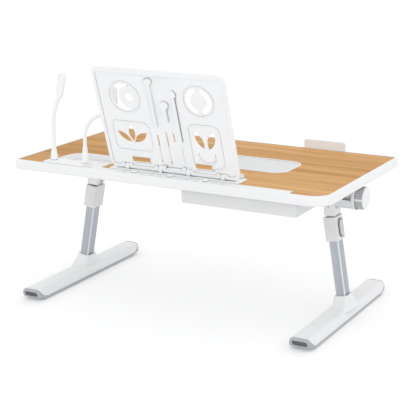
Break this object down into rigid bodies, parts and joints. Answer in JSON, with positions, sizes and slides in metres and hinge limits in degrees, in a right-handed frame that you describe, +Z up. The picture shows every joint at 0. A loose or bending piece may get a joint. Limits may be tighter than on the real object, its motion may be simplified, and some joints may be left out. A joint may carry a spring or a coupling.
{
  "type": "laptop stand with drawer",
  "caption": "Folding bed desk on splayed telescopic tilting legs, with a leaning book stand, gooseneck lamp, small fan, storage tray and an under-top drawer.",
  "frame": {"origin": "on the floor, under the middle of the object's bounding box, with the legs down, the height lowest, the top level and the drawer shut", "axes": "+X along the desk, from the lamp's end to the drawer's end; +Y from the edge that the book stand leans over to the reader's edge, where the stopper stands; +Z up"},
  "size_m": [0.6036, 0.379, 0.4423],
  "materials": {
    "rim": "white moulded plastic, satin",
    "wood": "light oak-look board, satin",
    "pad": "light grey pad",
    "stand": "white moulded plastic, satin",
    "fitting": "white plastic, slight sheen",
    "blade": "soft white blades",
    "lens": "milky diffuser",
    "connector": "plain steel",
    "drawer": "white moulded plastic, satin",
    "fastener": "plain steel",
    "housing": "white moulded plastic, satin",
    "leg_white": "white moulded plastic, satin",
    "collar": "light grey moulded plastic, satin",
    "button": "white moulded plastic, satin",
    "tube": "brushed and anodised",
    "sole": "mid grey moulded plastic",
    "insert": "dark grey, plain",
    "steel": "plain steel",
    "grip": "grey moulded plastic, ribbed grip"
  },
  "bodies": {
    "table": {"wood_top": "wood", "edge_rim": "rim", "underside_panel": "rim", "accessory_strip": "rim", "storage_tray": "rim", "pad_frame": "rim", "desk_pad": "pad", "hub_case": "rim", "hub_ports": "connector", "drawer_rails": "drawer", "rail_screws": "fastener", "tilt_housings": "housing", "housing_screws": "fastener", "stand_base": "stand", "stand_hinge_pins": "fastener"},
    "stand": {"stand_panel": "stand"},
    "clip_left": {"page_clip_left": "stand"},
    "clip_right": {"page_clip_right": "stand"},
    "lamp": {"lamp_plug": "connector", "lamp_base": "fitting", "lamp_neck": "fitting", "lamp_head": "fitting", "lamp_lens": "lens"},
    "fan": {"fan_plug": "connector", "fan_base": "fitting", "fan_neck": "fitting", "fan_motor": "fitting"},
    "fan_blades": {"fan_blades": "blade"},
    "stopper": {"stopper": "stand"},
    "drawer": {"drawer_box": "drawer"},
    "left_tilt": {"left_leg_head": "leg_white", "left_fold_pin": "steel", "left_tilt_shaft": "steel", "left_lock_gear": "steel", "left_knob_spring": "steel"},
    "left_upper": {"left_upper_leg": "leg_white"},
    "left_lower": {"left_collar": "collar", "left_leg_tube": "tube", "left_foot_shell": "leg_white", "left_foot_sole": "sole", "left_foot_inserts": "insert"},
    "left_button": {"left_height_button": "button"},
    "left_knob": {"left_tilt_knob": "button", "left_knob_core": "grip"},
    "right_tilt": {"right_leg_head": "leg_white", "right_fold_pin": "steel", "right_tilt_shaft": "steel", "right_lock_gear": "steel", "right_knob_spring": "steel"},
    "right_upper": {"right_upper_leg": "leg_white"},
    "right_lower": {"right_collar": "collar", "right_leg_tube": "tube", "right_foot_shell": "leg_white", "right_foot_sole": "sole", "right_foot_inserts": "insert"},
    "right_button": {"right_height_button": "button"},
    "right_knob": {"right_tilt_knob": "button", "right_knob_core": "grip"}
  },
  "joints": [
    {"name": "stand_lean", "type": "hinge", "parent": "table", "child": "stand", "pos_m": [0.012, -0.12233, 0.26653], "axis": [-1, 0, 0], "range_deg": [0, 45]},
    {"name": "clip_left_turn", "type": "hinge", "parent": "table", "child": "clip_left", "pos_m": [-0.048, -0.09704, 0.261], "axis": [0, 1, 0], "range_deg": [-65, 65]},
    {"name": "clip_right_turn", "type": "hinge", "parent": "table", "child": "clip_right", "pos_m": [0.072, -0.09704, 0.261], "axis": [0, 1, 0], "range_deg": [-65, 65]},
    {"name": "lamp_unplug", "type": "slide", "parent": "table", "child": "lamp", "axis": [0, 0, 1], "range_m": [0, 0.015]},
    {"name": "fan_unplug", "type": "slide", "parent": "table", "child": "fan", "axis": [0, 0, 1], "range_m": [0, 0.015]},
    {"name": "fan_spin", "type": "hinge", "parent": "fan", "child": "fan_blades", "pos_m": [-0.12504, -0.10692, 0.35133], "axis": [0, 1, 0], "continuous": true},
    {"name": "stopper_lift", "type": "slide", "parent": "table", "child": "stopper", "axis": [0, 0, 1], "range_m": [0, 0.012]},
    {"name": "drawer_slide", "type": "slide", "parent": "table", "child": "drawer", "axis": [0, -1, 0], "range_m": [0, 0.1]},
    {"name": "left_tilt", "type": "hinge", "parent": "table", "child": "left_tilt", "pos_m": [-0.238, 0.02046, 0.218], "axis": [1, 0, 0], "range_deg": [0, 35]},
    {"name": "left_fold", "type": "hinge", "parent": "left_tilt", "child": "left_upper", "pos_m": [-0.238, 0.02046, 0.199], "axis": [0, 1, 0], "range_deg": [-90, 0]},
    {"name": "left_height", "type": "slide", "parent": "left_upper", "child": "left_lower", "axis": [-0.1668, 0, -0.986], "range_m": [0, 0.06]},
    {"name": "left_button_press", "type": "slide", "parent": "left_lower", "child": "left_button", "axis": [0.986, 0, -0.1668], "range_m": [0, 0.0015], "stiffness_N_per_m": 1500},
    {"name": "left_knob_press", "type": "slide", "parent": "table", "child": "left_knob", "axis": [1, 0, 0], "range_m": [0, 0.004], "stiffness_N_per_m": 1500},
    {"name": "right_tilt", "type": "hinge", "parent": "table", "child": "right_tilt", "pos_m": [0.238, 0.02046, 0.218], "axis": [1, 0, 0], "range_deg": [0, 35]},
    {"name": "right_fold", "type": "hinge", "parent": "right_tilt", "child": "right_upper", "pos_m": [0.238, 0.02046, 0.199], "axis": [0, -1, 0], "range_deg": [-90, 0]},
    {"name": "right_height", "type": "slide", "parent": "right_upper", "child": "right_lower", "axis": [0.1668, 0, -0.986], "range_m": [0, 0.06]},
    {"name": "right_button_press", "type": "slide", "parent": "right_lower", "child": "right_button", "axis": [-0.986, 0, -0.1668], "range_m": [0, 0.0015], "stiffness_N_per_m": 1500},
    {"name": "right_knob_press", "type": "slide", "parent": "table", "child": "right_knob", "axis": [-1, 0, 0], "range_m": [0, 0.004], "stiffness_N_per_m": 1500}
  ]
}
